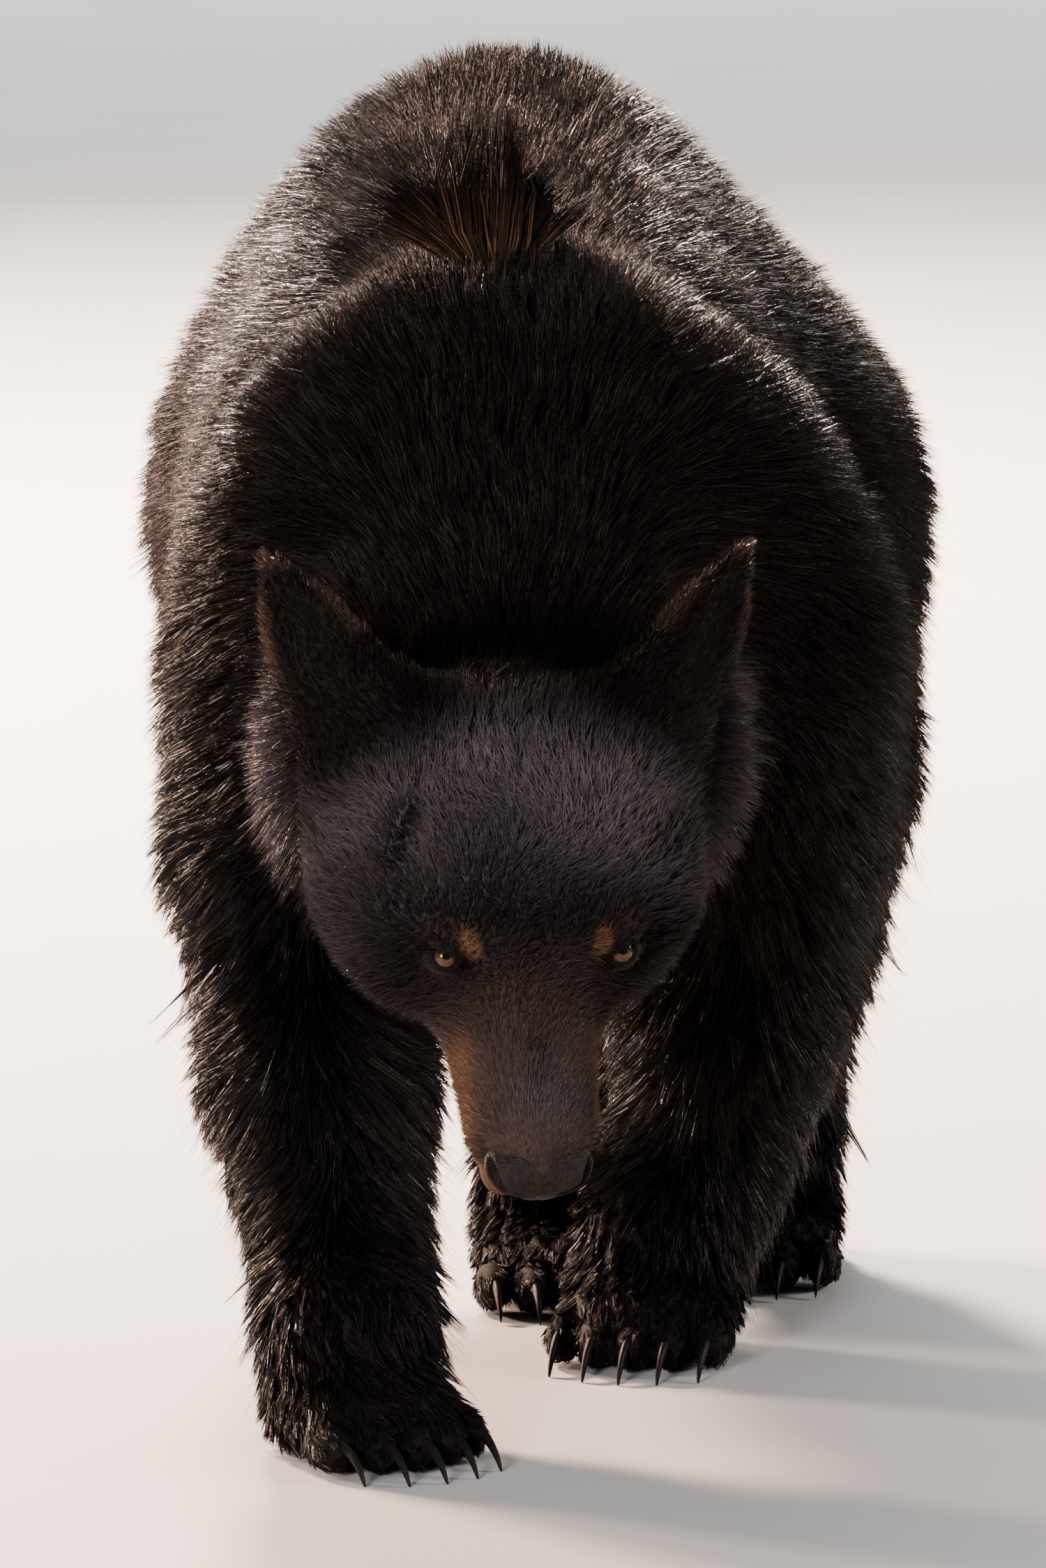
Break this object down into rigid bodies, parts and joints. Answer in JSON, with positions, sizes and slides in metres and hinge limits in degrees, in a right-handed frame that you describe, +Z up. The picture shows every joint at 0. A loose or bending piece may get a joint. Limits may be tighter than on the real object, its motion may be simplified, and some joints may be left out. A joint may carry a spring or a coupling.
{
  "type": "black bear",
  "caption": "Life-size black bear walking with its head held low, heavy long-furred body parted into head, neck, trunk, legs, paws and tail, standing on flat soles",
  "frame": {"origin": "middle of the bounding box, on the floor", "axes": "+X is the bear's left, +Y runs from its nose to its tail, +Z is up"},
  "size_m": [0.5664, 1.4134, 0.8292],
  "materials": {
    "coat": "long glossy near-black fur with dark claws",
    "muzzle_fur": "short brown velvety fur, tan at the sides",
    "nose_leather": "damp grained skin",
    "eye": "clear wet gloss over a brown iris"
  },
  "bodies": {
    "root": {"head": "coat", "neck": "coat", "shoulders": "coat", "barrel": "coat", "hindquarters": "coat", "tail": "coat", "ear_left": "coat", "ear_right": "coat", "foreleg_left_upper": "coat", "foreleg_left_lower": "coat", "forepaw_left": "coat", "foreleg_right_upper": "coat", "foreleg_right_lower": "coat", "forepaw_right": "coat", "hindleg_left_upper": "coat", "hindleg_left_lower": "coat", "hindpaw_left": "coat", "hindleg_right_upper": "coat", "hindleg_right_lower": "coat", "hindpaw_right": "coat", "muzzle": "muzzle_fur", "lower_jaw": "muzzle_fur", "nose_pad": "nose_leather", "eye_left": "eye", "eye_right": "eye"}
  },
  "joints": []
}
